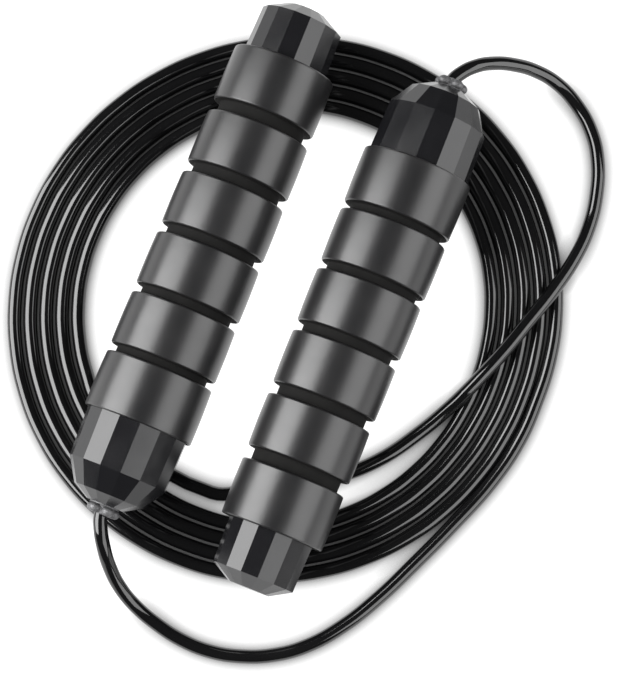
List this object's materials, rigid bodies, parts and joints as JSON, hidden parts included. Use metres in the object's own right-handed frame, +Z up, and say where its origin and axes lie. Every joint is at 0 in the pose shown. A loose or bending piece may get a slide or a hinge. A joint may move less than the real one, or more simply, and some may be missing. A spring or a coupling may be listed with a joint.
{
  "type": "jump rope",
  "caption": "Jump rope with a black plastic-coated cord in a flat round coil and ribbed foam handles with faceted caps that spin on ball bearings.",
  "frame": {"origin": "middle of the box around the two handles without the cord: midway between the handles, halfway along them, at the height of their axes", "axes": "+Y along the handles, from the left handle's nose to its butt; +X from the left handle to the right handle; +Z up, away from the surface that the coil lies on, which is 21 mm below the origin"},
  "size_m": [0.1656, 0.1995, 0.0376],
  "materials": {
    "foam": "matte closed-cell foam",
    "cap": "satin-gloss moulded plastic with flat facets",
    "tube": "plain moulded plastic",
    "swivel": "grey die-cast metal, satin",
    "race": "ground bearing steel",
    "ball": "polished bearing steel",
    "cage": "pressed brass",
    "shield": "pressed sheet steel",
    "clip": "spring steel, dark",
    "ferrule": "turned aluminium",
    "screw": "blackened steel",
    "cord": "glossy black plastic coating"
  },
  "bodies": {
    "rope": {"rope_coil": "cord", "left_tail": "cord", "right_tail": "cord", "left_swivel_spindle": "swivel", "left_bearing_inner_ring": "race", "left_spindle_clip": "clip", "left_cord_stop": "ferrule", "left_stop_screw": "screw", "left_cord_end": "cord", "right_swivel_spindle": "swivel", "right_bearing_inner_ring": "race", "right_spindle_clip": "clip", "right_cord_stop": "ferrule", "right_stop_screw": "screw", "right_cord_end": "cord"},
    "left_handle": {"left_core_tube": "tube", "left_foam_grip": "foam", "left_nose_cap": "cap", "left_butt_cap": "cap", "left_bearing_outer_ring": "race", "left_bearing_shields": "shield", "left_bearing_retainer": "clip"},
    "left_ball_cage": {"left_bearing_cage": "cage", "left_bearing_balls": "ball"},
    "right_handle": {"right_core_tube": "tube", "right_foam_grip": "foam", "right_nose_cap": "cap", "right_butt_cap": "cap", "right_bearing_outer_ring": "race", "right_bearing_shields": "shield", "right_bearing_retainer": "clip"},
    "right_ball_cage": {"right_bearing_cage": "cage", "right_bearing_balls": "ball"}
  },
  "joints": [
    {"name": "left_handle_spin", "type": "hinge", "parent": "rope", "child": "left_handle", "pos_m": [-0.024, 0, 0], "axis": [0, 1, 0], "continuous": true},
    {"name": "left_cage_spin", "type": "hinge", "parent": "rope", "child": "left_ball_cage", "pos_m": [-0.024, 0, 0], "axis": [0, 1, 0], "continuous": true},
    {"name": "right_handle_spin", "type": "hinge", "parent": "rope", "child": "right_handle", "pos_m": [0.024, 0, 0], "axis": [0, -1, 0], "continuous": true},
    {"name": "right_cage_spin", "type": "hinge", "parent": "rope", "child": "right_ball_cage", "pos_m": [0.024, 0, 0], "axis": [0, -1, 0], "continuous": true}
  ],
  "couplings": [
    {"joint": "left_cage_spin", "follows": "left_handle_spin", "ratio": 0.58333},
    {"joint": "right_cage_spin", "follows": "right_handle_spin", "ratio": 0.58333}
  ]
}
